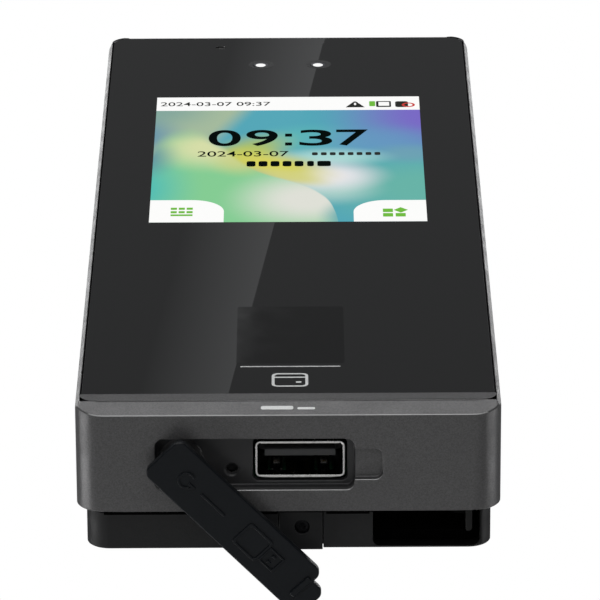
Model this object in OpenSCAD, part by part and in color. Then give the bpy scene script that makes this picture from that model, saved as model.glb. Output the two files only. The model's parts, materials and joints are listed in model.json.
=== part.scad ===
/* [Case] */
// Width of the terminal across its front
case_w = 62; // [61:0.5:64]
// Height of the terminal between its two end faces
case_h = 166; // [165:0.5:168]
// Depth of the metal front shell behind its bevel
shell_d = 15.2; // [15:0.1:16]
// Depth of the rear cover, from the shell's back edge to the wall
rear_d = 6.8; // [6.8:0.1:7.4]
// Radius of the shell's four upright corners
corner_r = 4; // [3:0.5:5]
// Width of the sloping chin below the glass
chin_w = 3.6; // [3:0.1:4.5]
// Rise of the bevel from the shell's edge to the glass
bevel_rise = 0.9; // [0.7:0.1:1.2]
// Thickness of the shell's side walls
wall = 1.8; // [1.6:0.1:2]

/* [Front] */
// Thickness of the cover glass
glass_t = 1.1; // [0.8:0.1:1.3]
// Width of the display module
lcd_w = 50; // [48:0.5:51]
// Height of the display module
lcd_h = 69.2; // [66:0.2:70]
// Height of the display's centre above the terminal's centre
lcd_z = 22.4; // [20:0.2:24]
// Width of the fingerprint window
finger_w = 16; // [14:0.5:17]
// Height of the fingerprint window
finger_h = 22.4; // [20:0.2:23]
// Distance between the two camera axes
camera_gap = 9.8; // [9:0.1:11]

/* [Service port] */
// Width of the USB receptacle's shell
usb_w = 13.1; // [13.0:0.05:13.2]
// Height of the USB receptacle's shell
usb_h = 5.7; // [5.6:0.05:5.8]
// Depth of the recess that takes the rubber cover
recess_d = 2; // [1.6:0.1:2.2]
// Length of the rubber cover without its pull tab
flap_l = 29.6; // [28:0.2:30]
// Width of the rubber cover
flap_w = 7.6; // [7:0.1:7.8]
// Thickness of the rubber cover
flap_t = 1.4; // [1.2:0.1:1.6]
// Angle between the rubber cover and the recess as the cover hangs open
flap_angle = 46; // [0:1:90]

/* [Wall bracket] */
// Thickness of the bracket's steel plate
plate_t = 1.2; // [1:0.1:1.2]
// Width of the bracket plate
plate_w = 48; // [44:1:48]
// Distance between the wall screws across the plate
screw_dx = 34; // [30:1:36]
// Distance between the wall screws along the plate
screw_dz = 116; // [110:1:120]
// Distance between the two slots for a wall box
box_dz = 83.3; // [83.3:0.1:83.5]
// Diameter of the wall screw holes
screw_hole_d = 4.2; // [3.5:0.1:4.5]

/* [Hidden] */
$fn = 48;
eps = 0.05;

// Depth levels, counted from the wall plane at y = 0 towards the front
shell_back_y = -rear_d;
bevel_y = shell_back_y - shell_d;
glass_y = bevel_y - bevel_rise;
glass_back_y = glass_y + glass_t;
tape_t = 0.3;
seat_y = glass_back_y + tape_t;
front_wall_t = 1.5;
inside_y = seat_y + front_wall_t;

// Outlines of the shell and of the glass
half_w = case_w / 2;
half_h = case_h / 2;
bottom_z = -half_h;
side_bevel = 0.65;
top_bevel = 0.3;
glass_gap = 0.2;
glass_w = case_w - 2 * (side_bevel + glass_gap);
glass_bottom_z = bottom_z + chin_w;
glass_top_z = half_h - top_bevel - glass_gap;
glass_h = glass_top_z - glass_bottom_z;
glass_z = (glass_top_z + glass_bottom_z) / 2;
glass_r = 2.6;
mic_x = -11.65;
mic_z = half_h - 5.6;
mic_hole_d = 1.6;

// Inside of the shell
end_wall_t = 3.2;
inner_w = case_w - 2 * wall;
inner_bottom_z = bottom_z + end_wall_t;
inner_top_z = half_h - wall;
inner_h = inner_top_z - inner_bottom_z;
inner_z = (inner_top_z + inner_bottom_z) / 2;

// Main board and what stands on it
board_t = 1.6;
port_y = bevel_y + 7.8;
board_front_y = port_y + usb_h / 2;
board_back_y = board_front_y + board_t;
board_w = 53.6;
board_top_z = 66;
board_step_z = -67.5;
board_bottom_z = bottom_z + 5;
board_neck_w = 44;
board_screw_x = 24.6;
board_screw_z = [-62, 62.5];
cover_screw_x = 25.6;
cover_screw_z = [-71, 76.4];
post_r = 2.6;
boss_meet_y = -8.7;

// Service port in the lower end face
recess_left = -19.35;
recess_right = 9.6;
recess_h = 8;
recess_r = 1.2;
notch_right = 13.75;
notch_h = 4.8;
notch_d = 1;
recess_floor_z = bottom_z + recess_d;
usb_x = 1.7;
usb_wall = 0.35;
usb_l = 13.4;
reset_x = -8.25;
reset_y = port_y + 1.65;
stem_x = -15.65;
stem_r = 1.5;
stem_play = 0.05;
stem_pocket_r = 3.2;
stem_pocket_d = 0.6;

// Rubber cover as it hangs open, pulled out on its stem
flap_gap = 2;
flap_inner_z = bottom_z - flap_gap;
flap_root = 3.9;
flap_r = 1.2;
tab_l = 2.5;
tab_w = 3.6;
ridge_x = 24.45;
ridge_l = 1;
ridge_w = 3.9;
ridge_t = 0.4;

// Rear cover
rear_w = case_w - 2.8;
rear_h = case_h - 2.8;
rear_r = 3.4;
rear_rim_y = -0.3;
rear_low_z = -rear_h / 2;
seal_t = 0.75;
rear_top_y = shell_back_y + seal_t;
lip_top_y = -8.5;
lip_play = 0.2;
back_wall_y = -1.5;
back_wall_t = 1.6;
back_inner_y = back_wall_y - back_wall_t;
rib_t = 1.2;
rear_inner_w = 56;
rear_inner_bottom_z = inner_bottom_z + 1.2;
rear_inner_top_z = inner_top_z - 1.2;

// Wiring well in the middle of the back and the cable channel beside it
well_w = 26;
well_top_z = 28;
well_bottom_z = -32;
well_floor_y = -7.2;
channel_left = 12.3;
channel_right = 27.95;
channel_top_z = -21;
channel_floor_y = -7;
channel_back_y = -2.1;
channel_bottom_z = bottom_z + 4;
mouth_rib_x = 25.85;
mouth_rib_w = 1;
mouth_rib_y = -3.1;
header_z = [20, 8, -4, -16];
header_w = [14, 12, 10, 12];
header_h = 5.8;
header_top_y = -4.3;

// Bracket, its hooks and its lug
hook_x = 20;
hook_z = [-8, 44];
hook_w = 6;
hook_rise = 5;
hook_gap = 0.3;
lift = 6;
plate_top_z = 72;
plate_bottom_z = -72;
plate_r = 3;
lug_x = 1.75;
lug_w = 6.4;
lug_y = -6;
lug_z = bottom_z + 1.4;
lug_play = 0.1;
lock_x = 1.95;
lock_y = -3.6;
lock_r = 0.7;
lock_head_r = 1;
lock_sink = 0.4;
lock_head_t = 0.4;
tamper_x = -20;
tamper_z = -50;
tamper_r = 1.4;

// A filled rectangle with rounded corners, centred
module rounded(w, h, r) {
    square([w - 2 * r, h], center = true);
    square([w, h - 2 * r], center = true);
    for (sx = [-1, 1], sy = [-1, 1])
        translate([sx * (w / 2 - r), sy * (h / 2 - r)])
            circle(r);
}

// A rounded plate parallel to the wall, between two depths
module slab(w, h, r, y_front, y_back, x = 0, z = 0) {
    translate([x, y_back, z])
        rotate([90, 0, 0])
            linear_extrude(y_back - y_front)
                rounded(w, h, r);
}

// A square-cornered block given by its lowest and highest corners
module block(low, high) {
    translate(low)
        cube(high - low);
}

// A rod whose axis is square to the wall
module rod(r, y_front, y_back, x, z) {
    translate([x, y_back, z])
        rotate([90, 0, 0])
            cylinder(r = r, h = y_back - y_front);
}

// A rod whose axis runs along the height of the terminal
module upright(r, z_low, z_high, x, y) {
    translate([x, y, z_low])
        cylinder(r = r, h = z_high - z_low);
}

// A rounded block in the lower end face, from one height to another
module end_slab(left, right, h, r, z_low, z_high) {
    translate([(left + right) / 2, port_y, z_low])
        linear_extrude(z_high - z_low)
            rounded(right - left, h, r);
}

// Cuts the sloping bevels off the shell's front edge
module bevel_cutters() {
    reach = case_h + 20;
    deep = 10;
    chin_run = chin_w - glass_gap;
    translate([-reach / 2, bevel_y, bottom_z])
        rotate([atan(bevel_rise / chin_run), 0, 0])
            translate([0, -deep, -deep])
                cube([reach, deep, 2 * deep]);
    translate([-reach / 2, bevel_y, half_h])
        rotate([-atan(bevel_rise / top_bevel), 0, 0])
            translate([0, -deep, -deep])
                cube([reach, deep, 2 * deep]);
    for (side = [-1, 1])
        scale([side, 1, 1])
            translate([half_w, bevel_y, -reach / 2])
                rotate([0, 0, atan(bevel_rise / side_bevel)])
                    translate([-deep, -deep, 0])
                        cube([2 * deep, deep, reach]);
}

// Hollow of the service port: recess, notch, stem pocket and the holes in its floor
module port_hollow() {
    through_z = inner_bottom_z + 1;
    end_slab(recess_left, recess_right, recess_h, recess_r, bottom_z - 1, recess_floor_z);
    end_slab(recess_right - 3, notch_right, notch_h, recess_r, bottom_z - 1, bottom_z + notch_d);
    translate([usb_x, port_y, recess_floor_z - eps])
        linear_extrude(end_wall_t)
            rounded(usb_w + 0.6, usb_h + 1.1, 0.9);
    upright(stem_pocket_r, recess_floor_z - eps, recess_floor_z + stem_pocket_d, stem_x, port_y);
    upright(stem_r + stem_play, bottom_z, through_z, stem_x, port_y);
    upright(0.75, recess_floor_z - eps, through_z, reset_x, reset_y);
    translate([reset_x, reset_y, recess_floor_z - eps])
        cylinder(r1 = 1.1, r2 = 0.75, h = 0.35);
}

module front_frame() {
    pocket_w = glass_w + 2 * glass_gap;
    pocket_h = glass_h + 2 * glass_gap;
    color("dimgray")
    difference() {
        union() {
            difference() {
                slab(case_w, case_h, corner_r, glass_y, shell_back_y);
                bevel_cutters();
                slab(inner_w, inner_h, 2.2, inside_y, 0, 0, inner_z);
            }
            for (sx = [-1, 1], z = board_screw_z)
                rod(post_r, inside_y - eps, board_front_y, sx * board_screw_x, z);
            for (sx = [-1, 1], z = cover_screw_z)
                rod(post_r, inside_y - eps, boss_meet_y, sx * cover_screw_x, z);
        }
        slab(pocket_w, pocket_h, glass_r + glass_gap, glass_y - 1, seat_y, 0, glass_z);
        slab(lcd_w + 0.6, lcd_h + 0.8, 0.8, seat_y - 1, inside_y + 1, 0, lcd_z);
        slab(finger_w + 4.6, finger_h + 4.2, 1, seat_y - 1, inside_y + 1, finger_x, finger_z);
        for (x = camera_x)
            rod(3.3, seat_y - 1, inside_y + 1, x, camera_z);
        for (sx = [-1, 1])
            rod(2.7, seat_y - 1, inside_y + 1, sx * led_x, camera_z);
        rod(1, seat_y - 1, inside_y + 1, mic_x, mic_z);
        for (sx = [-1, 1], z = board_screw_z)
            rod(1.05, board_front_y - 5, board_front_y + 1, sx * board_screw_x, z);
        for (sx = [-1, 1], z = cover_screw_z)
            rod(1.25, boss_meet_y - 6, boss_meet_y + 1, sx * cover_screw_x, z);
        port_hollow();
    }
}

// Places of the cameras, the infrared lamps and the fingerprint window on the front
camera_mid_x = 0.2;
camera_x = [camera_mid_x - camera_gap / 2, camera_mid_x + camera_gap / 2];
camera_z = half_h - 14.9;
led_x = 16;
finger_x = 0.35;
finger_z = bottom_z + 28.8;

module cover_glass() {
    color([0.05, 0.05, 0.06, 0.9])
    difference() {
        slab(glass_w, glass_h, glass_r, glass_y, glass_back_y, 0, glass_z);
        rod(mic_hole_d / 2, glass_y - 1, glass_back_y + 1, mic_x, mic_z);
    }
}

module glass_tape() {
    margin = 0.15;
    band = 2.4;
    color("black")
    difference() {
        slab(glass_w - 2 * margin, glass_h - 2 * margin, glass_r, glass_back_y, seat_y, 0, glass_z);
        slab(glass_w - 2 * band, glass_h - 2 * band, 1, glass_back_y - 1, seat_y + 1, 0, glass_z);
    }
}

lcd_t = 2.3;
lcd_back_y = glass_back_y + lcd_t;
lcd_bottom_z = lcd_z - lcd_h / 2;
flex_w = 20;
flex_t = 0.2;
flex_drop = 3;

module lcd_panel() {
    color("steelblue")
        slab(lcd_w, lcd_h, 0.5, glass_back_y, lcd_back_y, 0, lcd_z);
}

module lcd_tray() {
    rim = 1;
    gap = 0.4;
    tray_w = lcd_w + 2 * (rim + gap);
    tray_h = lcd_h + 2 * (rim + gap);
    color("silver")
    difference() {
        slab(tray_w, tray_h, 1, inside_y, lcd_back_y + 0.5, 0, lcd_z);
        slab(lcd_w + 2 * gap, lcd_h + 2 * gap, 0.5, inside_y - 1, lcd_back_y, 0, lcd_z);
        block([-flex_w / 2 - 0.5, inside_y - 1, lcd_bottom_z - 2],
              [flex_w / 2 + 0.5, lcd_back_y, lcd_bottom_z + 0.5]);
    }
}

// The flex leaves the display's lower edge, turns back and down onto the board
module lcd_flex() {
    start_y = lcd_back_y - 0.3;
    turn_z = lcd_bottom_z - flex_drop;
    end_y = board_front_y - 0.9;
    color("darkorange")
    translate([-flex_w / 2, 0, 0])
    union() {
        block([0, start_y, turn_z], [flex_w, start_y + flex_t, lcd_bottom_z]);
        block([0, start_y, turn_z], [flex_w, end_y, turn_z + flex_t]);
        block([0, end_y - flex_t, turn_z - 4], [flex_w, end_y, turn_z + flex_t]);
    }
}

module fingerprint_window() {
    color([0.1, 0.1, 0.15, 0.8])
        slab(finger_w + 0.4, finger_h + 0.4, 0.5, glass_back_y, glass_back_y + 3.2, finger_x, finger_z);
}

module fingerprint_housing() {
    color("dimgray")
    difference() {
        slab(finger_w + 4, finger_h + 3.6, 0.8, seat_y, board_front_y - 1.2, finger_x, finger_z);
        slab(finger_w + 0.4, finger_h + 0.4, 0.5, seat_y - 1, board_front_y - 2.4, finger_x, finger_z);
    }
}

module fingerprint_board() {
    color("darkgreen")
        slab(finger_w + 4, finger_h + 3.6, 0.8, board_front_y - 1.2, board_front_y - 0.4, finger_x, finger_z);
}

antenna_w = 43;
antenna_h = 58;
antenna_z = -46;
antenna_t = 0.8;

module card_antenna() {
    color("seagreen")
    difference() {
        slab(antenna_w, antenna_h, 2, inside_y, inside_y + antenna_t, 0, antenna_z);
        slab(finger_w + 4.8, finger_h + 4.4, 1, inside_y - 1, inside_y + antenna_t + 1, finger_x, finger_z);
    }
}

module antenna_coil() {
    turns = 4;
    pitch = 1.6;
    track = 0.8;
    color("orange")
    for (i = [0 : turns - 1]) {
        w = antenna_w - 3 - 2 * i * pitch;
        h = antenna_h - 3 - 2 * i * pitch;
        difference() {
            slab(w, h, 1.5, inside_y + antenna_t, inside_y + antenna_t + 0.1, 0, antenna_z);
            slab(w - 2 * track, h - 2 * track, 1, inside_y, inside_y + 2, 0, antenna_z);
        }
    }
}

barrel_r = 3.1;
barrel_front_y = glass_back_y + 0.3;
module_y = barrel_front_y + 4;
camera_board_y = module_y + 2.6;
lens_r = 1.7;

module camera(x) {
    difference() {
        union() {
            rod(barrel_r, barrel_front_y, module_y + eps, x, camera_z);
            slab(8.4, 8.4, 0.8, module_y, camera_board_y, x, camera_z);
        }
        rod(lens_r + 0.05, barrel_front_y - 1, barrel_front_y + 2.5, x, camera_z);
        translate([x, barrel_front_y - eps, camera_z])
            rotate([-90, 0, 0])
                cylinder(r1 = barrel_r - 0.5, r2 = lens_r, h = 0.6);
    }
}

// A lens with a domed front
module lens(x) {
    dome_r = 2.6;
    intersection() {
        rod(lens_r, barrel_front_y - 1, barrel_front_y + 2.4, x, camera_z);
        translate([x, barrel_front_y + 0.5 + dome_r, camera_z])
            sphere(dome_r);
    }
}

module colour_camera() {
    color("black")
        camera(camera_x[0]);
}

module infrared_camera() {
    color("black")
        camera(camera_x[1]);
}

module colour_lens() {
    color("lightblue")
        lens(camera_x[0]);
}

module infrared_lens() {
    color("plum")
        lens(camera_x[1]);
}

module camera_board() {
    color("darkgreen")
        slab(41, 11, 1, camera_board_y, camera_board_y + 0.8, 0, camera_z);
}

module camera_flex() {
    low_z = camera_z - 9.5;
    start_y = camera_board_y + 0.8;
    end_y = board_front_y - 0.9;
    color("darkorange")
    translate([-5, 0, 0])
    union() {
        block([0, start_y, camera_z - 4], [10, start_y + flex_t, camera_z + 2]);
        block([0, start_y, camera_z - 4], [10, end_y, camera_z - 4 + flex_t]);
        block([0, end_y - flex_t, low_z], [10, end_y, camera_z - 4 + flex_t]);
    }
}

module infrared_leds() {
    color("gainsboro")
    for (sx = [-1, 1]) {
        rod(2.5, seat_y + 0.2, seat_y + 2.5, sx * led_x, camera_z);
        rod(2.9, seat_y + 2.5, camera_board_y, sx * led_x, camera_z);
    }
}

module microphone() {
    color("silver")
        rod(2.9, inside_y, inside_y + 2.2, mic_x, mic_z);
}

module main_board() {
    neck_h = board_top_z - board_bottom_z;
    wide_h = board_top_z - board_step_z;
    color("darkgreen")
    difference() {
        union() {
            slab(board_neck_w, neck_h, 1, board_front_y, board_back_y, 0, board_top_z - neck_h / 2);
            slab(board_w, wide_h, 1, board_front_y, board_back_y, 0, board_top_z - wide_h / 2);
        }
        for (sx = [-1, 1], z = board_screw_z)
            rod(1.15, board_front_y - 1, board_back_y + 1, sx * board_screw_x, z);
    }
}

module processor_shield() {
    size = 26;
    rise = 2.6;
    skin = 0.3;
    color("silver")
    difference() {
        slab(size, size, 1, board_front_y - rise, board_front_y, 0, 24);
        slab(size - 2 * skin, size - 2 * skin, 0.7, board_front_y - rise + skin, board_front_y + 1, 0, 24);
    }
}

// Chips on the front of the main board: width, height, thickness and place
module chips() {
    color([0.12, 0.12, 0.13])
    for (c = [[14, 14, 1.3, -4, 24], [8, 12, 1.1, 8, 24], [10, 10, 1, -17, 2],
              [7, 7, 1, 17, 0], [5, 6, 1.2, 18, -44], [6, 5, 1.2, -17, 50]])
        slab(c[0], c[1], 0.4, board_front_y - c[2], board_front_y, c[3], c[4]);
}

// Sockets that the two flexes end in
module flex_sockets() {
    color("ivory")
    difference() {
        union() {
            slab(flex_w + 3, 4, 0.3, board_front_y - 1.6, board_front_y, 0, lcd_bottom_z - flex_drop - 4);
            slab(13, 4, 0.3, board_front_y - 1.6, board_front_y, 0, camera_z - 10);
        }
        block([-flex_w / 2, board_front_y - 1.15, lcd_bottom_z - flex_drop - 4],
              [flex_w / 2, board_front_y - 0.85, lcd_bottom_z - flex_drop]);
        block([-5, board_front_y - 1.15, camera_z - 9.5],
              [5, board_front_y - 0.85, camera_z - 6]);
    }
}

module lock_relay() {
    color("royalblue")
        slab(10, 15, 0.5, board_front_y - 6.6, board_front_y, -17, -44);
}

module capacitors() {
    color("slategray")
    for (place = [[17, -58], [17, -30], [-17, -26]])
        rod(3.15, board_front_y - 5.8, board_front_y, place[0], place[1]);
}

clip_z = 49;

module clock_battery() {
    color("gainsboro")
        rod(6.25, board_front_y - 2.8, board_front_y - 0.8, 14, clip_z);
}

module battery_clip() {
    color("gold")
    difference() {
        slab(14.4, 8, 0.5, board_front_y - 3.2, board_front_y, 14, clip_z);
        rod(6.3, board_front_y - 2.85, board_front_y + 1, 14, clip_z);
    }
}

speaker_z = 46;
speaker_r = 10;
speaker_front_y = -8.3;
speaker_back_y = -3.7;

module speaker_basket() {
    color("dimgray")
    difference() {
        union() {
            rod(speaker_r, speaker_back_y - 1.4, speaker_back_y, 0, speaker_z);
            rod(6, speaker_front_y, speaker_back_y - 1.4 + eps, 0, speaker_z);
        }
        rod(speaker_r - 1, speaker_back_y - 0.9, speaker_back_y + 1, 0, speaker_z);
    }
}

// A shallow cone with a dust cap
module speaker_cone() {
    skin = 0.2;
    color("gray")
    translate([0, speaker_back_y - 0.9, speaker_z])
        rotate([-90, 0, 0])
            rotate_extrude()
                polygon([[0, 0], [4, 0], [speaker_r - 1.1, 0.7], [speaker_r - 1.1, 0.9],
                         [4, 0.2 + skin / 2], [3, 0.5], [0, 0.8]]);
}

module speaker_foam() {
    color([0.2, 0.2, 0.2])
    difference() {
        rod(speaker_r, speaker_back_y, back_inner_y, 0, speaker_z);
        rod(speaker_r - 1.4, speaker_back_y - 1, back_inner_y + 1, 0, speaker_z);
    }
}

module usb_shell() {
    inner_width = usb_w - 2 * usb_wall;
    inner_height = usb_h - 2 * usb_wall;
    window_w = 2.6;
    color("silver")
    translate([usb_x, port_y, recess_floor_z])
    union() {
        difference() {
            linear_extrude(usb_l)
                rounded(usb_w, usb_h, 0.8);
            translate([0, 0, -1])
                linear_extrude(usb_l + 1 - usb_wall)
                    rounded(inner_width, inner_height, 0.5);
            for (x = [-3.4, 3.4])
                translate([x - window_w / 2, -usb_h, 2])
                    cube([window_w, 2 * usb_h, 5.5]);
        }
        for (x = [-3.4, 3.4], side = [-1, 1])
            translate([x, side * (inner_height / 2 + 0.05), 2 - eps])
                linear_extrude(4.8)
                    square([window_w - 0.9, 0.25], center = true);
    }
}

tongue_t = 1.8;
tongue_y = port_y - usb_h / 2 + usb_wall + 0.7;

module usb_tongue() {
    low_z = recess_floor_z + 1.6;
    back_z = recess_floor_z + usb_l - usb_wall;
    color("black")
    union() {
        block([usb_x - 5.55, tongue_y, low_z], [usb_x + 5.55, tongue_y + tongue_t, back_z - 1]);
        translate([usb_x, port_y, back_z - 4])
            linear_extrude(4)
                rounded(usb_w - 2 * usb_wall - 0.2, usb_h - 2 * usb_wall - 0.2, 0.5);
    }
}

module usb_contacts() {
    low_z = recess_floor_z + 2.2;
    color("gold")
    for (x = [-3.5, -1, 1, 3.5])
        block([usb_x + x - 0.5, tongue_y + tongue_t, low_z],
              [usb_x + x + 0.5, tongue_y + tongue_t + 0.15, low_z + 6.6]);
}

reset_r = 0.7;
reset_front_z = inner_bottom_z + 0.9;

module reset_switch() {
    color("dimgray")
    difference() {
        block([reset_x - 3, board_front_y - 2.4, reset_front_z],
              [reset_x + 3, board_front_y, reset_front_z + 3.5]);
        upright(reset_r + 0.05, reset_front_z - 1, reset_front_z + 2, reset_x, reset_y);
    }
}

module reset_button() {
    color("black")
        upright(reset_r, reset_front_z - 0.65, reset_front_z + 1.5, reset_x, reset_y);
}

module tamper_switch() {
    depth = 3.5;
    color("dimgray")
    difference() {
        slab(6.2, 6.2, 0.4, board_back_y, board_back_y + depth, tamper_x, tamper_z);
        rod(tamper_r + 0.05, board_back_y + 0.6, board_back_y + depth + 1, tamper_x, tamper_z);
    }
}

module tamper_plunger() {
    color("red")
        rod(tamper_r, board_back_y + 1.5, -plate_t - 0.3, tamper_x, tamper_z);
}

module wiring_headers() {
    skin = 0.7;
    color("ivory")
    for (i = [0 : len(header_z) - 1])
        difference() {
            slab(header_w[i], header_h, 0.3, board_back_y, header_top_y, 0, header_z[i]);
            slab(header_w[i] - 2 * skin, header_h - 2 * skin, 0.2, board_back_y + 1.4, 0, 0, header_z[i]);
        }
}

module header_pins() {
    pitch = 2;
    pin = 0.6;
    color("gold")
    for (i = [0 : len(header_z) - 1]) {
        count = floor((header_w[i] - 3) / pitch);
        for (k = [0 : count - 1])
            translate([(k - (count - 1) / 2) * pitch - pin / 2, board_back_y + 1.4, header_z[i] - pin / 2])
                cube([pin, 3, pin]);
    }
}

module board_screws() {
    color("silver")
    for (sx = [-1, 1], z = board_screw_z)
        difference() {
            union() {
                rod(1.9, board_back_y, board_back_y + 1.1, sx * board_screw_x, z);
                rod(1, board_front_y - 4.5, board_back_y + eps, sx * board_screw_x, z);
            }
            rod(0.6, board_back_y + 0.4, board_back_y + 2, sx * board_screw_x, z);
        }
}

head_seat_y = -5;

// What is taken out of the rear cover: bracket seat, slots, well, channel and holes
module rear_openings() {
    over_y = 1;
    seat_play = 0.4;
    slot_low = lift + 0.6;
    slot_high = plate_t + 0.2;
    slab(plate_w + 2 * seat_play, plate_top_z - plate_bottom_z + 2 * seat_play + lift, plate_r,
         back_wall_y, over_y, 0, (plate_top_z + plate_bottom_z - lift) / 2);
    block([lug_x - lug_w / 2 - lug_play, rear_top_y - 1, -case_h],
          [lug_x + lug_w / 2 + lug_play, over_y, lug_z + plate_t + lug_play]);
    block([lug_x - lug_w / 2 - lug_play, back_wall_y, -case_h],
          [lug_x + lug_w / 2 + lug_play, over_y, plate_bottom_z + 1]);
    for (sx = [-1, 1], z = hook_z)
        block([sx * hook_x - hook_w / 2 - 0.4, back_inner_y - 1, z - slot_low],
              [sx * hook_x + hook_w / 2 + 0.4, over_y, z + slot_high]);
    slab(well_w, well_top_z - well_bottom_z, 2, well_floor_y, over_y, 0, (well_top_z + well_bottom_z) / 2);
    for (i = [0 : len(header_z) - 1])
        slab(header_w[i] + 0.6, header_h + 0.6, 0.3, well_floor_y - 2, over_y, 0, header_z[i]);
    block([channel_left, channel_floor_y, channel_bottom_z - eps],
          [channel_right, channel_back_y, channel_top_z]);
    block([well_w / 2 - 1, channel_floor_y, well_bottom_z + 2],
          [channel_left + 1, channel_back_y, channel_top_z]);
    for (z = [-4 : 4 : 4], x = [-4 : 4 : 4])
        rod(0.9, back_inner_y - 1, over_y, x, speaker_z + z);
    rod(tamper_r + 0.3, back_inner_y - 1, over_y, tamper_x, tamper_z);
}

// The mouth of the cable channel, with rounded lower corners
module cable_mouth() {
    mouth_back_y = -0.55;
    slab_w = channel_right - channel_left;
    translate([(channel_left + channel_right) / 2, 0, bottom_z - 1])
        linear_extrude(channel_bottom_z - bottom_z + 1)
            union() {
                translate([-slab_w / 2, rear_top_y - 1])
                    square([slab_w, mouth_back_y - rear_top_y]);
                translate([-slab_w / 2 + 1, rear_top_y - 1])
                    square([slab_w - 2, mouth_back_y - rear_top_y + 1]);
                for (sx = [-1, 1])
                    translate([sx * (slab_w / 2 - 1), mouth_back_y - 1])
                        circle(1);
            }
}

// A round-nosed rib in the mouth that the cable's sheath bears on
module mouth_rib() {
    low_z = rear_low_z + 0.6;
    high_z = channel_bottom_z + 4;
    block([mouth_rib_x, rear_top_y, low_z], [mouth_rib_x + mouth_rib_w, mouth_rib_y, high_z]);
    block([mouth_rib_x, channel_floor_y - eps, channel_bottom_z],
          [mouth_rib_x + mouth_rib_w, mouth_rib_y, high_z]);
    upright(mouth_rib_w / 2, low_z, high_z, mouth_rib_x + mouth_rib_w / 2, mouth_rib_y);
}

module rear_cover() {
    hollow_h = rear_inner_top_z - rear_inner_bottom_z;
    hollow_z = (rear_inner_top_z + rear_inner_bottom_z) / 2;
    lip_h = inner_h - 2 * lip_play;
    color([0.13, 0.13, 0.14])
    difference() {
        union() {
            difference() {
                union() {
                    slab(rear_w, rear_h, rear_r, rear_top_y, rear_rim_y);
                    slab(inner_w - 2 * lip_play, lip_h, 2, lip_top_y, rear_top_y + eps, 0, inner_z);
                }
                slab(rear_inner_w, hollow_h, 1.6, lip_top_y - 1, back_inner_y, 0, hollow_z);
            }
            slab(well_w + 2 * rib_t, well_top_z - well_bottom_z + 2 * rib_t, 2,
                 well_floor_y - rib_t, back_inner_y + eps, 0, (well_top_z + well_bottom_z) / 2);
            block([channel_left - rib_t, channel_floor_y - rib_t, rear_inner_bottom_z - eps],
                  [rear_inner_w / 2 + eps, back_wall_y - eps, channel_top_z + rib_t]);
            block([lug_x - 2.6, rear_top_y, rear_inner_bottom_z - eps],
                  [lug_x + 2.6, back_inner_y + eps, rear_inner_bottom_z + 4.5]);
        }
        rear_openings();
        cable_mouth();
        upright(lock_r + 0.05, bottom_z, rear_inner_bottom_z + 3.5, lock_x, lock_y);
        for (sx = [-1, 1], z = cover_screw_z)
            rod(post_r, boss_meet_y - 2, rear_rim_y + 1, sx * cover_screw_x, z);
    }
    color([0.13, 0.13, 0.14])
        cover_bosses();
    color([0.13, 0.13, 0.14])
        mouth_rib();
}

// Tubes that the rear screws pass through, with a seat for each head
module cover_bosses() {
    for (sx = [-1, 1], z = cover_screw_z)
        difference() {
            rod(post_r + eps, boss_meet_y, back_wall_y, sx * cover_screw_x, z);
            rod(1.3, boss_meet_y - 1, 0, sx * cover_screw_x, z);
            rod(2, head_seat_y, 0, sx * cover_screw_x, z);
        }
}

module rear_seal() {
    color([0.05, 0.05, 0.05])
    difference() {
        slab(rear_w - 0.2, inner_h + 0.4, 2.4, shell_back_y, rear_top_y, 0, inner_z);
        slab(rear_w - 1, inner_h - 0.3, 2, shell_back_y - 1, rear_top_y + 1, 0, inner_z);
    }
}

module cover_screws() {
    color("silver")
    for (sx = [-1, 1], z = cover_screw_z)
        difference() {
            union() {
                rod(1.9, head_seat_y, head_seat_y + 1.6, sx * cover_screw_x, z);
                rod(1.2, boss_meet_y - 5, head_seat_y + eps, sx * cover_screw_x, z);
            }
            rod(0.8, head_seat_y + 0.6, head_seat_y + 2, sx * cover_screw_x, z);
        }
}

// One hook: a neck that leaves the plate and a tongue that points up behind the cover's wall
module hook(x, z) {
    tongue_y = back_inner_y - hook_gap;
    block([x - hook_w / 2, tongue_y - plate_t, z], [x + hook_w / 2, -plate_t + eps, z + plate_t]);
    block([x - hook_w / 2, tongue_y - plate_t, z], [x + hook_w / 2, tongue_y, z + hook_rise]);
}

// A countersunk hole through the plate
module sunk_hole(x, z) {
    sink = 0.7;
    hole_r = screw_hole_d / 2;
    rod(hole_r, -plate_t - 1, 1, x, z);
    translate([x, -plate_t - eps, z])
        rotate([-90, 0, 0])
            cylinder(r1 = hole_r + 1.5 * sink, r2 = hole_r, h = sink + eps);
}

module wall_bracket() {
    plate_h = plate_top_z - plate_bottom_z;
    window_w = 26;
    window_h = 60;
    color("lightslategray")
    difference() {
        union() {
            slab(plate_w, plate_h, plate_r, -plate_t, 0, 0, (plate_top_z + plate_bottom_z) / 2);
            for (sx = [-1, 1], z = hook_z)
                hook(sx * hook_x, z);
            block([lug_x - lug_w / 2, -plate_t, lug_z], [lug_x + lug_w / 2, 0, plate_bottom_z + 4]);
            block([lug_x - lug_w / 2, lug_y, lug_z], [lug_x + lug_w / 2, 0, lug_z + plate_t]);
        }
        slab(window_w, window_h, 3, -plate_t - 1, 1);
        for (sx = [-1, 1], sz = [-1, 1])
            sunk_hole(sx * screw_dx / 2, sz * screw_dz / 2);
        for (sz = [-1, 1])
            sunk_hole(0, sz * box_dz / 2);
        upright(lock_r + 0.1, lug_z - 1, lug_z + plate_t + 1, lock_x, lock_y);
        upright(lock_head_r + 0.1, lug_z - 1, lug_z + lock_sink + lock_head_t, lock_x, lock_y);
    }
}

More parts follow.
